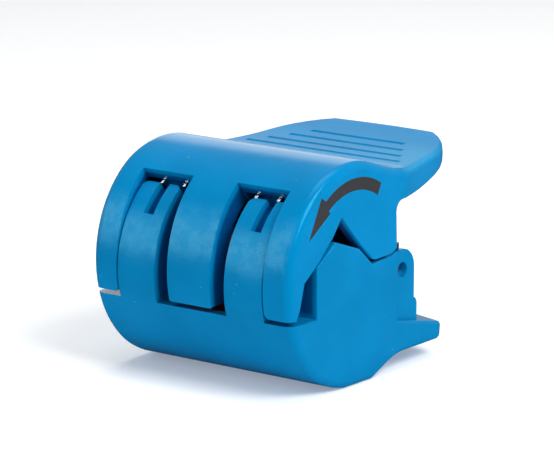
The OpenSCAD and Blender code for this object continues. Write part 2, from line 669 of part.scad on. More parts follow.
head_h = 1.4;
nut_h = 1.5;
module blade_screw_right()
    color(steel) difference() {
        union() {
            across(block_x - step_w / 2 - blade_t - head_h, block_x - step_w / 2 - blade_t)
                translate([screw_y, screw_z]) circle(d = 1.9 * screw_d, $fn = 40);
            across(block_x - step_w / 2 - blade_t - eps, block_x + step_w / 2 + blade_t + nut_h + 0.5)
                translate([screw_y, screw_z]) circle(d = screw_d, $fn = 32);
        }
        across(block_x - step_w / 2 - blade_t - head_h - 1, block_x - step_w / 2 - blade_t - head_h / 2)
            translate([screw_y, screw_z]) square([2.9, 0.5], center = true);
    }
module blade_screw_left() mirror([1, 0, 0]) blade_screw_right();
module blade_nut_right()
    color(steel) across(block_x + step_w / 2 + blade_t, block_x + step_w / 2 + blade_t + nut_h)
        translate([screw_y, screw_z]) difference() {
            circle(d = 2.3 * screw_d, $fn = 6);
            circle(d = screw_d + 0.02, $fn = 32);
        }
module blade_nut_left() mirror([1, 0, 0]) blade_nut_right();

// ---- hinge pin and springs ----
module hinge_pin()
    color(steel) across(-pin_len / 2, pin_len / 2) translate([hinge_y, hinge_z]) circle(d = pin_d, $fn = 48);

// Carries a direction that is square to the path along it, without twist
function carried(t, i = 0, n = [1, 0, 0], out = []) =
    i == len(t) ? out
    : let (m = unit(n - (n * t[i]) * t[i])) carried(t, i + 1, m, concat(out, [m]));
// A round wire along a path of points
module wire(path, r, sides = 8) {
    n = len(path);
    tangent = [for (i = [0:n - 1]) unit(path[min(i + 1, n - 1)] - path[max(i - 1, 0)])];
    normal = carried(tangent);
    points = [for (i = [0:n - 1], k = [0:sides - 1])
        let (a = 360 * k / sides)
        path[i] + r * (cos(a) * normal[i] + sin(a) * cross(tangent[i], normal[i]))];
    tube = [for (i = [0:n - 2], k = [0:sides - 1], t = [0, 1])
        let (a = i * sides + k, b = i * sides + (k + 1) % sides)
        t == 0 ? [a, b + sides, b] : [a, a + sides, b + sides]];
    polyhedron(points = points, convexity = 8,
               faces = concat(tube, [[for (k = [0:sides - 1]) k]],
                              [[for (k = [sides - 1:-1:0]) (n - 1) * sides + k]]));
}

// The right spring's path: up the lever's rear wall, round the pin, down to the cross wall
leg_x = ear_out + 0.3;
coil_out = ear_in - boss_t - 0.2 - wire_d / 2;
coil_pitch = wire_d * 1.15;
leg_a = 230;
sweep_a = leg_a - 180 + 360 * coil_turns;
coil_in = coil_out - coil_pitch * sweep_a / 360;
knuckle_in = coil_in - wire_d / 2 - 0.2 - knuckle_w;
hook_z = hinge_z + ear_r + 0.2;
hook_h = 1.4;
bend = 0.7;
// A quarter turn in the plane square to Y, from direction d to direction e
function quarter(p, d, e) = [for (a = [0, 30, 60, 90]) p + bend * (sin(a) * d + (1 - cos(a)) * e)];
spring_path = let (
        front = hinge_y - coil_r,
        up = [0, 0, 1],
        inboard = [-1, 0, 0],
        steps = ceil(sweep_a / 22.5),
        last = [coil_in, hinge_y + coil_r * cos(leg_a), hinge_z + coil_r * sin(leg_a)],
        run = (rest_y + rest_t * 0.6 - last.y) / -sin(leg_a))
    concat([[leg_x, front, hook_z + hook_h]],
           quarter([leg_x, front, hook_z + bend], -up, inboard),
           quarter([coil_out + bend, front, hook_z], inboard, -up),
           [for (i = [0:steps]) let (a = 180 + sweep_a * i / steps)
               [coil_out - coil_pitch * sweep_a / 360 * i / steps,
                hinge_y + coil_r * cos(a), hinge_z + coil_r * sin(a)]],
           [last + run * [0, -sin(leg_a), cos(leg_a)]]);
module spring_right() color(steel) wire(spring_path, wire_d / 2);
module spring_left() mirror([1, 0, 0]) spring_right();

lower_body();
thumb_lever();
hinge_pin();
spring_left();
spring_right();
cable_bed();
inner_blade_left();
inner_blade_right();
outer_blade_left();
outer_blade_right();
blade_screw_left();
blade_screw_right();
blade_nut_left();
blade_nut_right();
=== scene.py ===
"""Rotary cable tool: the looks of its moulded jaws, cable bed, blades, hinge pin and springs."""
import json
import math

import bmesh
import bpy
import numpy as np
from bpy.props import (FloatProperty, FloatVectorProperty, IntProperty,
                       PointerProperty)
from mathutils import Matrix, Vector
from mathutils.bvhtree import BVHTree

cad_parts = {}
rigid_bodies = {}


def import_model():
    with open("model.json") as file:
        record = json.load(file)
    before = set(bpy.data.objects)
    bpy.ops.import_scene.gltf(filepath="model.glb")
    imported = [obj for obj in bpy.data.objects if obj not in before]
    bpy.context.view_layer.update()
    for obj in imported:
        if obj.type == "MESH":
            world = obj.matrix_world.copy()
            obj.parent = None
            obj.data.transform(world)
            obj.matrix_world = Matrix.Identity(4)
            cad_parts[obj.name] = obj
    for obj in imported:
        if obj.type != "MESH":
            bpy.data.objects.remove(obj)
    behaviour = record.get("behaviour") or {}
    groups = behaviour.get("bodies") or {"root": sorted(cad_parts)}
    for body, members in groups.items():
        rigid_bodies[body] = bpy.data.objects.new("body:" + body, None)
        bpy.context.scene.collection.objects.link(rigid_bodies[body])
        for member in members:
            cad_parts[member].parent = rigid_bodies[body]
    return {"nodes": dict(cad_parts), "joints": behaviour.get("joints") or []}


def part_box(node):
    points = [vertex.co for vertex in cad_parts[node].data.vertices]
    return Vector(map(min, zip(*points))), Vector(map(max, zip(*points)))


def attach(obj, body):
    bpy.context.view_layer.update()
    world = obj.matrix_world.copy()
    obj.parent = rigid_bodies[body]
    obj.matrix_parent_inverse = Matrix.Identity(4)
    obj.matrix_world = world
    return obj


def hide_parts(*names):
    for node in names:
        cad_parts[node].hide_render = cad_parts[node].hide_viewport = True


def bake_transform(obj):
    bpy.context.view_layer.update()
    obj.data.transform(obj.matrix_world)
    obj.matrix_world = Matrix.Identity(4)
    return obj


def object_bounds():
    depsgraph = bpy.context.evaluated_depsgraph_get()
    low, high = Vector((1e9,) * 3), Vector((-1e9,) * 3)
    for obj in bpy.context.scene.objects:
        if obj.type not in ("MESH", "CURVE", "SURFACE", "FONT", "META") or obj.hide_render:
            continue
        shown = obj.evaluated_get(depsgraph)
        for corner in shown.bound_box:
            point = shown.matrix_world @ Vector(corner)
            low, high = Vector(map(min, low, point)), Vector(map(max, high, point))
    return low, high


bl_info = {
    "name": "Rotary Cable Tool",
    "version": (1, 0, 0),
    "blender": (4, 5, 0),
    "location": "View3D > Sidebar > Cable Tool",
    "description": "Dresses the packed model of a spring-loaded cable tool and sets its studio",
    "category": "Object",
}

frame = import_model()
CAD_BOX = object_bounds()
MM = 0.001
HINGE = next(j for j in frame["joints"] if j["name"] == "lever_hinge")
# Corners of a CAD mesh that lie closer than this are one, and edges flatter than this go
WELD, FLAT = 0.002 * MM, math.radians(0.4)
# Y and Z of the middle of each housing's front skin, and its radius
SKINS = {"lower_body": (-2.49 * MM, 18.23 * MM, 16.6 * MM), "thumb_lever": (0, 18.96 * MM, 19.2 * MM)}

# Points of the photograph, 554 wide and 465 high: where the object and its features show. Three were
# moved to where the render has them, so they say nothing of how well it fits: the photograph has left
# 5.6 pixels higher, right 5.9 lower, and right_slot_right 4 further left and 4.1 lower
PHOTO_SIZE = (554, 465)
IMAGE_POINTS = {
    "left": (96, 257.6),
    "right": (442.7, 150.1),
    "top": (332, 118),
    "bottom": (338, 391),
    "left_slot_left": (143.8, 169.3),
    "left_slot_right": (191, 176.3),
    "right_slot_left": (236.1, 185.5),
    "right_slot_right": (290.7, 191),
    "notch_apex": (340.5, 221),
    "vee_bottom": (370.7, 262.4),
    "flange_corner": (439, 325),
    "pin_hole": (400.5, 270.5),
    "arrow_tail_top": (381.3, 182.6),
    "arrow_tail_foot": (377.8, 194.9),
    "arrow_back": (364.5, 176.8),
    "arrow_neck_outer": (326.2, 201.7),
    "arrow_neck_inner": (328.8, 211.2),
    "arrow_barb_outer": (321.5, 198.5),
    "arrow_barb_inner": (330.4, 213.7),
    "arrow_tip": (308.8, 242.6),
}


# ---- settings that a user would change ----

class CameraSettings(bpy.types.PropertyGroup):
    """Where the photograph was taken from."""
    azimuth: FloatProperty(name="Azimuth", description="Turn of the camera round the tool",
                           default=math.radians(37), subtype="ANGLE")
    elevation: FloatProperty(name="Elevation", description="Height of the camera above the horizon",
                             default=math.radians(13), subtype="ANGLE")
    distance: FloatProperty(name="Distance", description="From the aim point to the lens",
                            default=0.5531, unit="LENGTH")
    aim: FloatVectorProperty(name="Aim", description="Point that shows in the middle of the picture",
                             default=(0.31 * MM, 4.55 * MM, 22.25 * MM), subtype="TRANSLATION",
                             precision=5)
    focal_length: FloatProperty(name="Focal Length", description="In millimetres, on the sensor below",
                                default=213.1, unit="CAMERA")
    sensor_width: FloatProperty(name="Sensor Width", description="Width of the sensor in millimetres",
                                default=36, unit="CAMERA")


class HousingSettings(bpy.types.PropertyGroup):
    """The two blue mouldings."""
    edge_radius: FloatProperty(name="Edge Rounding", description="Rounding of the mould's crisp edges",
                               default=0.16 * MM, unit="LENGTH", precision=5)
    edge_angle: FloatProperty(name="Edge Angle", description="Edges sharper than this are rounded",
                              default=math.radians(38), subtype="ANGLE")
    lever_colour: FloatVectorProperty(name="Lever", description="Colour of the thumb lever's plastic",
                                      default=(0.0, 0.21, 0.475), subtype="COLOR", min=0, max=1)
    body_colour: FloatVectorProperty(name="Lower Body", description="Colour of the lower body's plastic",
                                     default=(0.0, 0.20, 0.45), subtype="COLOR", min=0, max=1)
    # Painted shade: a darker tone that stands in for the shade well inside the shells
    hollow_shade_colour: FloatVectorProperty(name="Hollows", description="Deeper tone well inside the shells",
                                       default=(0.0, 0.07, 0.24), subtype="COLOR", min=0, max=1)
    # The specks' paler tone is spark-erosion grain and a painted sheen at once
    speck_and_sheen_share: FloatProperty(name="Specks", description="Strength of the spark-eroded speckle",
                               default=0.35, subtype="FACTOR", min=0, max=1)
    speck_and_sheen_colour: FloatVectorProperty(name="Speck Colour", description="Paler tone of that speckle",
                                      default=(0.10, 0.40, 0.60), subtype="COLOR", min=0, max=1)
    dust_colour: FloatVectorProperty(name="Dust", description="Colour of the few specks of dust",
                                     default=(0.55, 0.68, 0.78), subtype="COLOR", min=0, max=1)
    # Where the painted sheen and rougher patches lie: the front skin's slope at which the front light's
    # highlight falls
    sheen_patch_slope: FloatProperty(name="Patch Slope", description="Slope of the front skin amid the patches",
                               default=math.radians(22), subtype="ANGLE")
    sheen_patch_reach: FloatProperty(name="Patch Reach", description="How far they reach to either side of it",
                               default=math.radians(19), subtype="ANGLE")
    side_face: FloatProperty(name="Side Face", description="Where the side faces lie, from the middle",
                             default=20.5 * MM, unit="LENGTH", precision=5)
    ink_colour: FloatVectorProperty(name="Arrow", description="Colour of the printed arrow",
                                    default=(0.034, 0.036, 0.040), subtype="COLOR", min=0, max=1)
    ink_height: FloatProperty(name="Ink Height", description="Thickness of the printed arrow",
                              default=0.02 * MM, unit="LENGTH", precision=6)


class FingerSettings(bpy.types.PropertyGroup):
    """The two fingers of the lower body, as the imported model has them."""
    middle: FloatProperty(name="Middle", description="A finger's middle, from the tool's middle",
                          default=11.15 * MM, unit="LENGTH", precision=5)
    notch_shift: FloatProperty(name="Notch Shift", description="How far a notch sits right of that",
                               default=0.4 * MM, unit="LENGTH", precision=5)
    notch_width: FloatProperty(name="Notch Width", description="Width of a notch", default=2.1 * MM,
                               unit="LENGTH", precision=5)
    notch_fit: FloatProperty(name="Notch Fit", description="How far its floor reaches into each wall",
                             default=0.15 * MM, unit="LENGTH", precision=5)
    floor_start: FloatProperty(name="Floor Start", description="Where a notch's floor begins, seen from "
                               "the middle of the fingers' skin", default=math.radians(34),
                               subtype="ANGLE")
    floor_end: FloatProperty(name="Floor End", description="Where it ends, just short of the tip",
                             default=math.radians(57.2), subtype="ANGLE")
    floor_depth: FloatProperty(name="Floor Depth", description="From a finger's skin to the notch's floor",
                               default=1.75 * MM, unit="LENGTH", precision=5)
    floor_thickness: FloatProperty(name="Floor Thickness", description="Thickness of the notch's floor",
                                   default=0.4 * MM, unit="LENGTH", precision=5)


class InnerSettings(bpy.types.PropertyGroup):
    """The pieces between the jaws."""
    edge_radius: FloatProperty(name="Edge Rounding", description="Rounding of the small pieces' edges",
                               default=0.06 * MM, unit="LENGTH", precision=5)
    bed_colour: FloatVectorProperty(name="Cable Bed", description="Colour of the bed's plastic",
                                    default=(0.30, 0.010, 0.013), subtype="COLOR", min=0, max=1)
    steel_colour: FloatVectorProperty(name="Steel", description="Colour of blades, screws, nuts and pin",
                                      default=(0.56, 0.57, 0.58), subtype="COLOR", min=0, max=1)
    wire_colour: FloatVectorProperty(name="Spring Wire", description="Colour of the springs' wire",
                                     default=(0.11, 0.11, 0.12), subtype="COLOR", min=0, max=1)
    tip_roof: FloatProperty(name="Blade Tip Roof", description="How far a blade's tip reaches from the "
                            "drum's axis, just under the roof", default=16.8 * MM, unit="LENGTH",
                            precision=5)
    tip_root: FloatProperty(name="Blade Tip Root", description="Where a blade's tip starts, from the hinge",
                            default=26.9 * MM, unit="LENGTH", precision=5)


class SpringSettings(bpy.types.PropertyGroup):
    """The two torsion springs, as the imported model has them."""
    wire: FloatProperty(name="Wire", description="Diameter of the wire", default=0.7 * MM,
                        unit="LENGTH", precision=5)
    coil_radius: FloatProperty(name="Coil Radius", description="Mean radius of the coils",
                               default=2.1 * MM, unit="LENGTH", precision=5)
    turns: IntProperty(name="Turns", description="Full turns of each coil", default=5, min=1)
    leg_angle: FloatProperty(name="Leg Angle", description="Where the lower leg leaves the coil",
                             default=math.radians(230), subtype="ANGLE")
    bend: FloatProperty(name="Bend", description="Radius of the hook's bends", default=0.7 * MM,
                        unit="LENGTH", precision=5)
    hook_height: FloatProperty(name="Hook Height", description="How far the hook stands above its bend",
                               default=1.4 * MM, unit="LENGTH", precision=5)
    sides: IntProperty(name="Sides", description="Corners of the wire's section", default=14, min=6)


class StageSettings(bpy.types.PropertyGroup):
    """The pale floor and the soft studio light."""
    floor_radius: FloatProperty(name="Floor Radius", description="Radius of the floor's disc", default=6,
                                unit="LENGTH")
    floor_colour: FloatVectorProperty(name="Floor", description="Colour of the floor",
                                      default=(0.86, 0.87, 0.88), subtype="COLOR", min=0, max=1)
    floor_glow: FloatProperty(name="Floor Glow", description="Light of the floor itself, to keep it white",
                              default=0.25, min=0)
    sky: FloatProperty(name="Sky", description="Strength of the even light from all round", default=0.34,
                       min=0)
    low_sky: FloatProperty(name="Low Sky", description="Share of it that comes from well below the "
                           "horizon, which the floor hides and only gloss shows", default=0.06, min=0,
                           max=1)
    key: FloatProperty(name="Key Light", description="Power of the light from the right and above",
                       default=3.0, unit="POWER")
    top: FloatProperty(name="Top Light", description="Power of the light from above", default=1.4,
                       unit="POWER")
    sheen: FloatProperty(name="Sheen Light", description="Power of the small light on the jaws' front",
                         default=1.5, unit="POWER")
    fill: FloatProperty(name="Fill Light", description="Power of the soft light from the front left",
                        default=0.3, unit="POWER")
    rim: FloatProperty(name="Rim Light", description="Power of the thin strip that draws the right rims",
                       default=1.5, unit="POWER")
    back: FloatProperty(name="Back Light", description="Power of the light behind, for gloss alone",
                        default=0.2, unit="POWER")


class ToolSettings(bpy.types.PropertyGroup):
    """All settings of the tool's scene."""
    camera: PointerProperty(type=CameraSettings)
    housing: PointerProperty(type=HousingSettings)
    finger: PointerProperty(type=FingerSettings)
    inner: PointerProperty(type=InnerSettings)
    spring: PointerProperty(type=SpringSettings)
    stage: PointerProperty(type=StageSettings)


# ---- shader maths ----

class Value:
    """A number that varies over a surface. Python's operators on it add Math nodes."""

    def __init__(self, shading, socket):
        self.shading, self.socket = shading, socket

    def maths(self, operation, *others):
        """Adds a Math node of that operation, with this value first."""
        inputs = {0: self, **{i + 1: other for i, other in enumerate(others)}}
        return self.shading.add("ShaderNodeMath", {"operation": operation}, inputs)

    def __add__(self, other):
        return self.maths("ADD", other)

    def __sub__(self, other):
        return self.maths("SUBTRACT", other)

    def __rsub__(self, other):
        return self.shading.add("ShaderNodeMath", {"operation": "SUBTRACT"}, {0: other, 1: self})

    def __mul__(self, other):
        return self.maths("MULTIPLY", other)

    __radd__ = __add__

    def step(self, start, end):
        """0 before start, 1 after end, and smooth between them."""
        settings = {"interpolation_type": "SMOOTHSTEP"}
        return self.shading.add("ShaderNodeMapRange", settings, {0: self, 1: start, 2: end})


class Shading:
    """The node tree of one material, around its Principled shader."""

    kind, shader_name, coordinates = "materials", "Principled BSDF", "Object"

    def __init__(self, name, **constants):
        self.material = getattr(bpy.data, self.kind).new(name)
        self.material.use_nodes = True
        self.tree = self.material.node_tree
        self.shader = self.tree.nodes[self.shader_name]
        self.places = {}
        for socket, value in constants.items():
            self.set(self.shader.inputs[socket.replace("_", " ")], value)

    def set(self, socket, value):
        """Links a value to a socket, or writes a plain number or colour into it."""
        if isinstance(value, Value):
            self.tree.links.new(value.socket, socket)
        elif socket.type == "RGBA":
            socket.default_value = (*tuple(value)[:3], 1)
        else:
            socket.default_value = value

    def add(self, kind, settings=None, inputs=None, output=0):
        """Adds a node: first its settings, then its sockets by name or place; gives back one output."""
        node = self.tree.nodes.new(kind)
        for key, value in (settings or {}).items():
            setattr(node, key, value)
        for key, value in (inputs or {}).items():
            self.set(node.inputs[key], value)
        return Value(self, node.outputs[output])

    def place(self, axis):
        """One of the object's own coordinates, in metres, X, Y or Z, or all of them as a vector."""
        if not self.places:
            self.places["all"] = self.add("ShaderNodeTexCoord", output=self.coordinates)
        if axis not in self.places:
            self.places[axis] = self.add("ShaderNodeSeparateXYZ", None, {0: self.places["all"]}, axis)
        return self.places[axis]

    def facing_up(self):
        """How far the surface faces up: 1 on level tops, 0 on upright walls."""
        facing = self.add("ShaderNodeTexCoord", output="Normal")
        return self.add("ShaderNodeSeparateXYZ", None, {0: facing}, output="Z")

    def noise(self, grain, detail=2.0, roughness=0.5, stretch=(1, 1, 1)):
        """Smooth noise from 0 to 1, whose grains are about that many metres wide, stretched by axis."""
        where = self.add("ShaderNodeVectorMath", {"operation": "MULTIPLY"},
                          {0: self.place("all"), 1: tuple(1 / (grain * s) for s in stretch)})
        return self.add("ShaderNodeTexNoise", None,
                        {"Vector": where, "Scale": 1.0, "Detail": detail, "Roughness": roughness})

    def blend(self, share, colour_a, colour_b):
        """The first colour where share is 0, the second where it is 1."""
        return self.add("ShaderNodeMix", {"data_type": "RGBA"},
                        {0: share, 6: colour_a, 7: colour_b}, output=2)

    def finish(self, height=None, bump=0.0, depth=MM, **varying):
        """Links what varies into the shader, with height as a bump of that strength and depth."""
        for socket, value in varying.items():
            self.set(self.shader.inputs[socket.replace("_", " ")], value)
        if height is not None:
            relief = {"Strength": bump, "Distance": depth, "Height": height}
            self.set(self.shader.inputs["Normal"], self.add("ShaderNodeBump", None, relief))
        return self.material


class StudioSky(Shading):
    """The node tree of the world, whose coordinates are the direction that a ray leaves in."""

    kind, shader_name, coordinates = "worlds", "Background", "Generated"


def scaled(colour, factor):
    """A colour made lighter or darker by one factor."""
    return tuple(min(1.0, c * factor) for c in colour)


# ---- finishes ----

def housing_plastic(name, settings, colour, skin):
    """Glossy blue plastic: a faint cloud of colour, patches of fine spark-erosion grain on the front skin
    and the pad whose paler specks are also a painted sheen, where the front skin's slope meets the front
    light's highlight and on the pad's upward-facing top, paler towards +X, a few specks of dust, and
    painted shade, a deeper tone, well inside the shells. The front skin is a circle, given as its
    middle's Y and Z and its radius: how deep a place lies is the radius less the place's distance
    from the middle, and its slope is the angle at the middle, up from -Y."""
    # Where each zone fades in or out, in metres from the start of the fade to its end
    rims = (settings.side_face - 1.4 * MM, settings.side_face - 0.5 * MM)
    under_skin, deep_inside = (0.2 * MM, 0.4 * MM), (0.6 * MM, 1.5 * MM)
    above_ledge, towards_hinge = (13.6 * MM, 14.6 * MM), (9 * MM, 10.4 * MM)
    pad_height, pad_root, pad_end = (29 * MM, 30 * MM), (12 * MM, 16 * MM), (24 * MM, 31 * MM)

    s = Shading(name, Specular_IOR_Level=0.22, Specular_Tint=(0.15, 0.85, 1.0), IOR=1.46)
    x, y, z = s.place("X"), s.place("Y"), s.place("Z")
    cloud = s.noise(9 * MM, detail=3)
    grain = s.noise(0.22 * MM, detail=2, roughness=0.6)
    coarse = s.noise(2.2 * MM, detail=3, roughness=0.6)
    dust = s.noise(0.6 * MM, detail=1).step(0.80, 0.83)

    out, up = y - skin[0], z - skin[1]
    depth = skin[2] - (out * out + up * up).maths("SQRT")
    away = (up.maths("ARCTAN2", 0 - out) - settings.sheen_patch_slope).maths("ABSOLUTE")
    inside = 1 - x.maths("ABSOLUTE").step(*rims)
    # Painted shade well under the skin, above the ledge, off the side faces and short of the hinge
    hollow_shade = depth.step(*deep_inside) * z.step(*above_ledge) * inside * (1 - y.step(*towards_hinge))
    # The zone round that slope: rougher, and its paler specks are a painted sheen as well as spark-erosion
    # grain
    front = ((1 - away.step(0.1 * settings.sheen_patch_reach, settings.sheen_patch_reach)) * inside
             * (1 - depth.step(*under_skin)))
    pad = y.step(*pad_root) * z.step(*pad_height)
    # Painted sheen on the pad's upward-facing top, short of its end, stronger towards +X
    pad_top_speck_and_sheen = pad * (1 - y.step(*pad_end)) * s.facing_up().step(0.35, 0.75)
    eroded_and_sheen = front * coarse.step(0.36, 0.6) + pad_top_speck_and_sheen * (0.3 + x.step(0, 16 * MM))
    speckle_and_sheen = (0.35 + grain.step(0.42, 0.62) * 0.65) * eroded_and_sheen

    tint = s.blend(cloud.step(0.3, 0.7), scaled(colour, 0.94), scaled(colour, 1.05))
    # Paler specks: spark-erosion grain and painted sheen
    tint = s.blend(speckle_and_sheen * settings.speck_and_sheen_share, tint, settings.speck_and_sheen_colour)
    tint = s.blend(dust * 0.5, tint, settings.dust_colour)
    tint = s.blend(hollow_shade, tint, settings.hollow_shade_colour)
    roughness = 0.17 + cloud * 0.05 + front * 0.26 + pad * 0.22 + speckle_and_sheen * 0.06
    return s.finish(grain * (0.12 + eroded_and_sheen * 0.88), bump=0.5, depth=0.02 * MM, Base_Color=tint,
                    Roughness=roughness)


def arrow_ink(colour):
    """Dark printed ink, a little thin in places."""
    s = Shading("arrow_ink", Specular_IOR_Level=0.12)
    thin = s.noise(0.35 * MM, detail=3, roughness=0.6)
    tint = s.blend(thin.step(0.35, 0.75), colour, scaled(colour, 1.2))
    return s.finish(thin, bump=0.3, depth=0.01 * MM, Base_Color=tint, Roughness=0.5 + thin * 0.15)


def bed_plastic(colour):
    """Satin red plastic with fine tool marks along X."""
    s = Shading("bed_red_plastic", Specular_IOR_Level=0.4)
    cloud = s.noise(3 * MM, detail=3)
    marks = s.noise(0.15 * MM, detail=2, roughness=0.6, stretch=(8, 1, 1))
    tint = s.blend(cloud, scaled(colour, 0.8), scaled(colour, 1.15))
    return s.finish(marks, bump=0.4, depth=0.02 * MM, Base_Color=tint, Roughness=0.42 + marks * 0.15)


def ground_steel(name, colour, rough, stretch):
    """Steel ground in one direction: fine streaks in its gloss, tone and relief."""
    s = Shading(name, Metallic=1.0)
    streaks = s.noise(0.07 * MM, detail=3, roughness=0.6, stretch=stretch)
    stain = s.noise(2.2 * MM, detail=3)
    tint = s.blend(stain.step(0.35, 0.75), colour, scaled(colour, 0.72))
    return s.finish(streaks, bump=0.35, depth=0.01 * MM, Base_Color=tint,
                    Roughness=rough + streaks * 0.22)


# ---- meshes ----

def new_object(name, points, faces, material, smooth=True):
    """Makes an object at the origin from arrays of corners and faces."""
    mesh = bpy.data.meshes.new(name)
    mesh.from_pydata(np.asarray(points, float).tolist(), [], [list(map(int, f)) for f in faces])
    mesh.materials.append(material)
    if smooth:
        mesh.shade_smooth()
    mesh.validate()
    piece = bpy.data.objects.new(name, mesh)
    bpy.context.scene.collection.objects.link(piece)
    return piece


def merged_mesh(node, name):
    """A copy of a node's loose triangles: corners joined, flat stretches dissolved into whole faces."""
    work = bmesh.new()
    work.from_mesh(frame["nodes"][node].data)
    bmesh.ops.remove_doubles(work, verts=work.verts, dist=WELD)
    bmesh.ops.dissolve_degenerate(work, edges=work.edges, dist=WELD)
    bmesh.ops.dissolve_limit(work, angle_limit=FLAT, verts=work.verts, edges=work.edges)
    mesh = bpy.data.meshes.new(name)
    work.to_mesh(mesh)
    work.free()
    if "custom_normal" in mesh.attributes:
        mesh.attributes.remove(mesh.attributes["custom_normal"])
    return mesh


def dressed(node, body, material, edge_radius, edge_angle):
    """Puts a merged, edge-rounded copy in a CAD node's place."""
    name = node + "_dressed"
    mesh = merged_mesh(node, name)
    mesh.materials.clear()
    mesh.materials.append(material)
    mesh.shade_smooth()
    piece = bpy.data.objects.new(name, mesh)
    bpy.context.scene.collection.objects.link(piece)
    bevel = piece.modifiers.new("Edges", "BEVEL")
    bevel.width = edge_radius
    bevel.segments = 2
    bevel.limit_method = "ANGLE"
    bevel.angle_limit = edge_angle
    bevel.use_clamp_overlap = True
    bevel.harden_normals = False
    weighted = piece.modifiers.new("Normals", "WEIGHTED_NORMAL")
    weighted.keep_sharp = True
    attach(piece, body)
    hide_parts(node)
    return piece


def arc(centre, radius, start, end, count=9):
    """Points in the YZ plane on a circle, at even angles in degrees from start to end."""
    t = np.radians(np.linspace(start, end, count))
    return np.stack([centre[0] + radius * np.cos(t), centre[1] + radius * np.sin(t)], 1)


def slab(name, outline, low, high, material):
    """A flat plate: a closed outline in the YZ plane, carried along X from low to high."""
    n = len(outline)
    ring = np.arange(n)
    points = np.concatenate([np.column_stack([np.full(n, x), outline]) for x in (low, high)])
    walls = np.stack([ring, (ring + 1) % n, (ring + 1) % n + n, ring + n], 1)
    faces = [ring[::-1].tolist(), (ring + n).tolist(), *walls.tolist()]
    plate = new_object(name, points, faces, material, smooth=False)
    work = bmesh.new()
    work.from_mesh(plate.data)
    bmesh.ops.triangulate(work, faces=work.faces)
    bmesh.ops.recalc_face_normals(work, faces=work.faces)
    work.to_mesh(plate.data)
    work.free()
    return plate


def tube(name, path, radius, sides, material):
    """A wire: rings of equal corners round each path point. Each ring's first direction is the one
    before it, made square to the path there; the ends are closed by flat caps."""
    path = np.asarray(path, float)
    tangent = np.gradient(path, axis=0)
    tangent /= np.linalg.norm(tangent, axis=1)[:, None]
    normal = np.empty_like(path)
    carried = np.array([0.0, 1.0, 0.0])
    for i, t in enumerate(tangent):
        carried = carried - (carried @ t) * t
        carried /= np.linalg.norm(carried)
        normal[i] = carried
    across = np.cross(tangent, normal)
    a = 2 * np.pi * np.arange(sides) / sides
    rings = path[:, None] + radius * (np.cos(a)[None, :, None] * normal[:, None]
                                      + np.sin(a)[None, :, None] * across[:, None])
    i, k = np.meshgrid(np.arange(len(path) - 1), np.arange(sides), indexing="ij")
    a, b = i * sides + k, i * sides + (k + 1) % sides
    faces = np.stack([a, b, b + sides, a + sides], -1).reshape(-1, 4).tolist()
    first = np.arange(sides)
    faces += [first[::-1].tolist(), (first + (len(path) - 1) * sides).tolist()]
    return new_object(name, rings.reshape(-1, 3), faces, material)


# ---- camera ----

class View:
    """The photograph's camera: rays from image points, and image points of places."""

    def __init__(self, settings):
        az, el = settings.azimuth, settings.elevation
        self.back = Vector((math.sin(az) * math.cos(el), -math.cos(az) * math.cos(el), math.sin(el)))
        self.right = Vector((math.cos(az), math.sin(az), 0))
        self.up = self.back.cross(self.right)
        self.lens_at = Vector(settings.aim) + self.back * settings.distance
        self.width, self.height = PHOTO_SIZE
        self.pixels = max(PHOTO_SIZE) * settings.focal_length / settings.sensor_width

    def ray(self, point):
        """Direction from the lens through an image point."""
        x, y = point[0] - self.width / 2, self.height / 2 - point[1]
        return (self.right * x + self.up * y - self.back * self.pixels).normalized()

    def shows_at(self, place):
        """Image point at which a place shows."""
        d = Vector(place) - self.lens_at
        share = self.pixels / -d.dot(self.back)
        return (self.width / 2 + d.dot(self.right) * share, self.height / 2 - d.dot(self.up) * share)


def world_tree(*pieces):
    """A search tree of finished pieces, modifiers included, and their corners in the frame."""
    graph = bpy.context.evaluated_depsgraph_get()
    corners, faces = [], []
    for piece in pieces:
        shown = piece.evaluated_get(graph)
        mesh = shown.to_mesh()
        co = np.empty(len(mesh.vertices) * 3, np.float32)
        mesh.vertices.foreach_get("co", co)
        start = len(corners)
        matrix = np.array(shown.matrix_world)
        corners += (co.reshape(-1, 3) @ matrix[:3, :3].T + matrix[:3, 3]).tolist()
        faces += [[start + v for v in polygon.vertices] for polygon in mesh.polygons]
        shown.to_mesh_clear()
    return BVHTree.FromPolygons(corners, faces), corners


def placed(view, tree, corners, point):
    """Where the ray through an image point meets a surface, or the corner nearest to the ray."""
    ray = view.ray(point)
    hit = tree.ray_cast(view.lens_at, ray)[0]
    if hit is not None:
        return hit
    away = np.asarray(corners) - np.array(view.lens_at)
    along = away @ np.array(ray)
    off = np.linalg.norm(away - along[:, None] * np.array(ray), axis=1)
    return Vector(corners[int(off.argmin())])


# ---- operators ----

class CABLETOOL_OT_camera(bpy.types.Operator):
    """Place the camera where the photograph was taken"""
    bl_idname = "cable_tool.camera"
    bl_label = "Place Camera"

    def execute(self, context):
        settings = context.scene.cable_tool.camera
        view = View(settings)
        data = bpy.data.cameras.new("photo_camera")
        data.sensor_fit = "AUTO"
        data.sensor_width = settings.sensor_width
        data.lens = settings.focal_length
        data.clip_start, data.clip_end = 0.01, 100
        camera = bpy.data.objects.new("photo_camera", data)
        context.scene.collection.objects.link(camera)
        axes = Matrix((view.right, view.up, view.back)).transposed().to_4x4()
        camera.matrix_world = Matrix.Translation(view.lens_at) @ axes
        context.scene.camera = camera
        return {"FINISHED"}


class CABLETOOL_OT_housings(bpy.types.Operator):
    """Dress the lower body and the thumb lever in moulded blue plastic"""
    bl_idname = "cable_tool.housings"
    bl_label = "Dress Housings"

    def execute(self, context):
        settings = context.scene.cable_tool.housing
        for node, body, colour in (("lower_body", "body", settings.body_colour),
                                   ("thumb_lever", "lever", settings.lever_colour)):
            plastic = housing_plastic(node + "_plastic", settings, tuple(colour), SKINS[node])
            dressed(node, body, plastic, settings.edge_radius, settings.edge_angle)
        return {"FINISHED"}


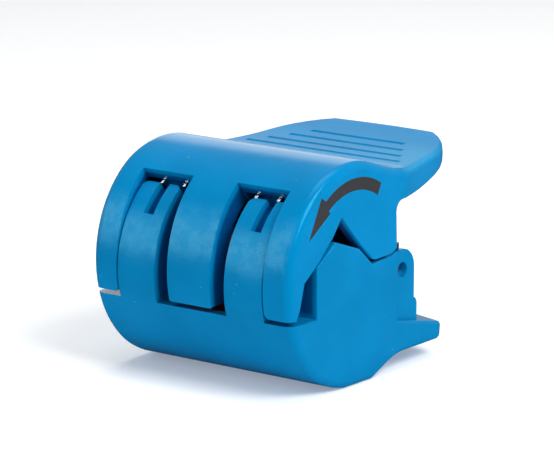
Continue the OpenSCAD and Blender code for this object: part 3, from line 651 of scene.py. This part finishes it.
class CABLETOOL_OT_notch_floors(bpy.types.Operator):
    """Close the notch in each finger's tip with its thin floor"""
    bl_idname = "cable_tool.notch_floors"
    bl_label = "Floor Notches"

    def execute(self, context):
        finger = context.scene.cable_tool.finger
        skin = SKINS["lower_body"]
        plastic = bpy.data.materials["lower_body_plastic"]
        start, end = (180 - math.degrees(slope) for slope in (finger.floor_start, finger.floor_end))
        top = skin[2] - finger.floor_depth
        outline = np.concatenate([arc(skin[:2], top, start, end),
                                  arc(skin[:2], top - finger.floor_thickness, end, start)])
        half = finger.notch_width / 2 + finger.notch_fit
        for name, side in (("notch_floor_left", -1), ("notch_floor_right", 1)):
            middle = side * finger.middle + finger.notch_shift
            floor = slab(name, outline, middle - half, middle + half, plastic)
            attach(floor, "body")
        return {"FINISHED"}


class CABLETOOL_OT_inner_pieces(bpy.types.Operator):
    """Dress the cable bed, blades, screws, nuts and hinge pin"""
    bl_idname = "cable_tool.inner_pieces"
    bl_label = "Dress Inner Pieces"

    def execute(self, context):
        settings = context.scene.cable_tool.inner
        steel = tuple(settings.steel_colour)
        angle = math.radians(40)
        blade = ground_steel("blade_steel", steel, 0.16, (1, 1, 14))
        turned = ground_steel("turned_steel", scaled(steel, 0.9), 0.3, (14, 1, 1))
        bed = bed_plastic(tuple(settings.bed_colour))
        dressed("cable_bed", "body", bed, 2 * settings.edge_radius, angle)
        dressed("hinge_pin", "body", turned, settings.edge_radius, angle)
        for side in ("left", "right"):
            for place in ("inner", "outer"):
                node = f"{place}_blade_{side}"
                dressed(node, "lever", blade, settings.edge_radius / 2, angle)
                low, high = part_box(node)
                tip = slab(node + "_tip", blade_tip(settings), low.x, high.x, blade)
                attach(tip, "lever")
            for kind in ("screw", "nut"):
                dressed(f"blade_{kind}_{side}", "lever", turned,
                        settings.edge_radius, angle)
        return {"FINISHED"}


def blade_tip(settings):
    """Outline of a blade's front tip, which shows between a finger and the slot's top: an arc under
    the roof, about the drum's axis, then an arc about the hinge, where the blade's tip starts, back
    down to the finger's tip. Each runs between two angles in degrees, from +Y towards +Z."""
    roof, root = (130, 120), (141.5, 149.9)
    return np.concatenate([arc(SKINS["thumb_lever"][:2], settings.tip_roof, *roof),
                           arc(HINGE["pos_m"][1:], settings.tip_root, *root)])


def spring_path(settings, node, side):
    """The wire's middle line, in metres: down the hook behind the lever's wall, in over the ear,
    round the pin in a helix at a constant pitch, and straight down to the cross wall."""
    low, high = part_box(node)
    centre = np.array(HINGE["pos_m"])
    wire, coil = settings.wire, settings.coil_radius
    outer = max(abs(low.x), abs(high.x)) - wire / 2
    inner = min(abs(low.x), abs(high.x)) + wire / 2
    sweep = settings.leg_angle - math.pi + 2 * math.pi * settings.turns
    pitch = 1.15 * wire
    coil_out = inner + pitch * sweep / (2 * math.pi)
    front = centre[1] - coil
    top = high.z
    hook = top - settings.hook_height
    quarter = np.linspace(0, math.pi / 2, 7)
    bend = settings.bend
    points = [np.array([[outer, front, z] for z in np.linspace(top, hook + bend, 4)[:-1]])]
    points += [np.stack([outer - bend * (1 - np.cos(quarter)), np.full(7, front),
                         hook + bend - bend * np.sin(quarter)], 1)]
    points += [np.stack([coil_out + bend - bend * np.sin(quarter), np.full(7, front),
                         hook - bend * (1 - np.cos(quarter))], 1)]
    a = math.pi + np.linspace(0, sweep, 32 * settings.turns)
    points += [np.stack([coil_out - (coil_out - inner) * (a - math.pi) / sweep,
                         centre[1] + coil * np.cos(a), centre[2] + coil * np.sin(a)], 1)]
    last = points[-1][-1]
    along = np.array([0, -math.sin(settings.leg_angle), math.cos(settings.leg_angle)])
    run = (last[2] - low.z - wire / 2) / -along[2]
    points += [last + np.linspace(0, 1, 6)[1:, None] * run * along]
    path = np.concatenate(points)
    return path * np.array([side, 1, 1])


class CABLETOOL_OT_springs(bpy.types.Operator):
    """Wind the two torsion springs, whose outer ends bear on the lever; here they do not turn with it"""
    bl_idname = "cable_tool.springs"
    bl_label = "Wind Springs"

    def execute(self, context):
        tool = context.scene.cable_tool
        settings = tool.spring
        wire = ground_steel("spring_wire", tuple(tool.inner.wire_colour), 0.28, (1, 3, 3))
        for name, side in (("spring_left", -1), ("spring_right", 1)):
            path = spring_path(settings, name, side)
            piece = tube(name + "_wound", path, settings.wire / 2, settings.sides, wire)
            if side > 0:
                piece.data.flip_normals()
            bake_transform(piece)
            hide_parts(name)
        return {"FINISHED"}


class CABLETOOL_OT_arrow(bpy.types.Operator):
    """Print the curved arrow on the lever's side face"""
    bl_idname = "cable_tool.arrow"
    bl_label = "Print Arrow"

    def execute(self, context):
        tool = context.scene.cable_tool
        view = View(tool.camera)
        tree, corners = world_tree(bpy.data.objects["thumb_lever_dressed"])
        at = {name.removeprefix("arrow_"): np.array(placed(view, tree, corners, point))[1:]
              for name, point in IMAGE_POINTS.items() if name.startswith("arrow_")}
        outer = arc_through(at["tail_top"], at["back"], at["neck_outer"])
        # Across the band amid its bend: about the tail's end, turned nearly upright
        nearly_upright = np.array([0.35, 1.1])
        middle = at["back"] + (at["tail_foot"] - at["tail_top"]) * nearly_upright
        inner = arc_through(at["tail_foot"], middle, at["neck_inner"])
        outline = np.concatenate([outer, [at["barb_outer"], at["tip"], at["barb_inner"]], inner[::-1]])
        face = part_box("thumb_lever")[1].x
        arrow = slab("lever_arrow", outline, face - tool.housing.ink_height,
                     face + tool.housing.ink_height, arrow_ink(tuple(tool.housing.ink_colour)))
        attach(arrow, "lever")
        return {"FINISHED"}


def arc_through(a, b, c, count=17):
    """Points on the circle through three places on the side face: its middle is where the chords'
    bisectors meet, and the angle runs evenly from a to c."""
    p = np.array([a, b, c])
    chords = 2 * (p[1:] - p[0])
    centre = np.linalg.solve(chords, (p[1:] ** 2).sum(1) - (p[0] ** 2).sum())
    radius = np.linalg.norm(p[0] - centre)
    angles = np.unwrap(np.arctan2(p[:, 1] - centre[1], p[:, 0] - centre[0]))
    t = np.linspace(angles[0], angles[2], count)
    return np.stack([centre[0] + radius * np.cos(t), centre[1] + radius * np.sin(t)], 1)


def area_light(name, place, aim, size, power, gloss_only=False, along=(0, 0, 1), length=None):
    """A soft light at a place, turned towards its aim: a square, or a strip of that length along a
    direction; one for gloss alone adds only shine."""
    data = bpy.data.lights.new(name, "AREA")
    data.shape = "RECTANGLE"
    data.size, data.size_y = size, length or size
    data.energy = power
    light = bpy.data.objects.new(name, data)
    bpy.context.scene.collection.objects.link(light)
    light.visible_camera = False
    light.visible_diffuse = not gloss_only
    light.location = place
    back = (Vector(place) - Vector(aim)).normalized()
    up = Vector(along)
    up = (up - up.dot(back) * back).normalized()
    light.rotation_mode = "QUATERNION"
    light.rotation_quaternion = Matrix((up.cross(back), up, back)).transposed().to_quaternion()
    return light


class CABLETOOL_OT_stage(bpy.types.Operator):
    """Lay the pale floor and hang the studio lights"""
    bl_idname = "cable_tool.stage"
    bl_label = "Set Stage"

    def execute(self, context):
        settings = context.scene.cable_tool.stage
        low, high = CAD_BOX
        paper = Shading("floor_paper", Specular_IOR_Level=0.1, Roughness=0.9,
                        Emission_Color=(1, 1, 1), Emission_Strength=settings.floor_glow)
        colour = tuple(settings.floor_colour)
        tint = paper.blend(paper.noise(60 * MM), scaled(colour, 0.99), scaled(colour, 1.01))
        material = paper.finish(Base_Color=tint)
        a = np.linspace(0, 2 * np.pi, 97)[:-1]
        under_tool = low.z - 0.02 * MM
        rim = np.column_stack([settings.floor_radius * np.cos(a), settings.floor_radius * np.sin(a),
                               np.full(len(a), under_tool)])
        floor = new_object("floor", rim, [range(len(a))], material, smooth=False)
        floor.visible_glossy = False
        sky = StudioSky("studio", Strength=settings.sky)
        low_sky = (settings.low_sky,) * 3
        context.scene.world = sky.finish(
            Color=sky.blend(sky.place("Z").step(-0.2, -0.04), low_sky, (1, 1, 1)))
        middle = (low + high) / 2
        area_light("key_light", (0.42, -0.08, 0.46), middle, 0.30, settings.key)
        area_light("top_light", (-0.05, 0.10, 0.60), middle, 0.40, settings.top)
        area_light("fill_light", (-0.30, -0.37, 0.26), middle, 0.30, settings.fill)
        area_light("sheen_light", (-0.30, -0.37, 0.20), middle, 0.08, settings.sheen, gloss_only=True)
        area_light("rim_light", (0.43, -0.08, 0.44), middle, 0.035, settings.rim, gloss_only=True,
                   along=(-0.33, 0.94, 0.52), length=0.6)
        area_light("back_light", (-0.33, 0.44, 0.16), middle, 0.24, settings.back, gloss_only=True)
        context.scene.view_settings.view_transform = "Standard"
        return {"FINISHED"}


class CABLETOOL_PT_panel(bpy.types.Panel):
    """Lists the steps that dress the tool"""
    bl_label = "Cable Tool"
    bl_idname = "CABLETOOL_PT_panel"
    bl_space_type = "VIEW_3D"
    bl_region_type = "UI"
    bl_category = "Cable Tool"

    def draw(self, context):
        for operator in OPERATORS:
            self.layout.operator(operator.bl_idname)


SETTINGS = (CameraSettings, HousingSettings, FingerSettings, InnerSettings, SpringSettings,
            StageSettings, ToolSettings)
OPERATORS = (CABLETOOL_OT_camera, CABLETOOL_OT_housings, CABLETOOL_OT_notch_floors,
             CABLETOOL_OT_inner_pieces, CABLETOOL_OT_springs, CABLETOOL_OT_arrow, CABLETOOL_OT_stage)


def register():
    for kind in (*SETTINGS, *OPERATORS, CABLETOOL_PT_panel):
        bpy.utils.register_class(kind)
    bpy.types.Scene.cable_tool = PointerProperty(type=ToolSettings)


def unregister():
    del bpy.types.Scene.cable_tool
    for kind in (CABLETOOL_PT_panel, *reversed(OPERATORS), *reversed(SETTINGS)):
        bpy.utils.unregister_class(kind)


# ---- measures ----

def write_size():
    """Brings the view layer up to date; neither box is measured or written here."""
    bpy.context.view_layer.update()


def outline_corners(piece):
    """Corners of a dressed piece, before its edges are rounded, where two sharp edges meet."""
    sharp_edge, straight_on = math.radians(14), -0.87
    work = bmesh.new()
    work.from_mesh(piece.data)
    corners = []
    for vert in work.verts:
        ways = [(e.other_vert(vert).co - vert.co).normalized() for e in vert.link_edges
                if len(e.link_faces) == 2 and e.calc_face_angle() > sharp_edge]
        if any(a.dot(b) > straight_on for i, a in enumerate(ways) for b in ways[:i]):
            corners.append(vert.co.copy())
    work.free()
    return corners


def write_points():
    """How far in x and y each named thing shows from its image point: the object's edges by the
    finished vertices that show, the features by their corners that show."""
    grazing, hole_radius, hole_margin, near_side = 0.35 * MM, 1.3 * MM, 0.25 * MM, 17 * MM
    view = View(bpy.context.scene.cable_tool.camera)
    pieces = [o for o in bpy.data.objects if o.type == "MESH" and o.name.endswith(("_dressed", "_wound"))]
    tree, every = world_tree(*pieces)

    def shown(places):
        """Image points of those places that nothing hides."""
        clear = []
        for place in places:
            away = Vector(place) - view.lens_at
            hit = tree.ray_cast(view.lens_at, away.normalized())[3]
            if hit is None or hit > away.length - grazing:
                clear.append(view.shows_at(place))
        return np.array(clear)

    body, lever = (bpy.data.objects[n + "_dressed"] for n in ("lower_body", "thumb_lever"))
    body_places = world_tree(body)[1]
    edges, flange, lever_marks = shown(every), shown(body_places), shown(outline_corners(lever))
    corners = {"slot": lever_marks, "notch": lever_marks, "vee": shown(outline_corners(body))}
    arrow = shown(world_tree(bpy.data.objects["lever_arrow"])[1])
    hinge = np.array(HINGE["pos_m"])
    rim = [c for c in body_places if c[0] > near_side
           and abs(math.hypot(c[1] - hinge[1], c[2] - hinge[2]) - hole_radius) < hole_margin]
    for name, point in IMAGE_POINTS.items():
        kind = name.split("_")[0]
        if name in ("left", "right", "top", "bottom"):
            axis = 0 if name in ("left", "right") else 1
            pick = edges[:, axis].argmin() if name in ("left", "top") else edges[:, axis].argmax()
            at = edges[pick]
        elif kind == "flange":
            at = flange[flange[:, 0].argmax()]
        elif kind == "pin":
            at = shown(rim).mean(0)
        elif kind == "arrow":
            at = arrow[np.linalg.norm(arrow - point, axis=1).argmin()]
        else:
            near = next(c for k, c in corners.items() if k in name)
            at = near[np.linalg.norm(near - point, axis=1).argmin()]
        [round(float(a - b), 2) for a, b in zip(at, point)]


def main():
    register()
    for operator in OPERATORS:
        group, name = operator.bl_idname.split(".")
        getattr(getattr(bpy.ops, group), name)()
    write_size()
    write_points()


if __name__ == "__main__":
    main()
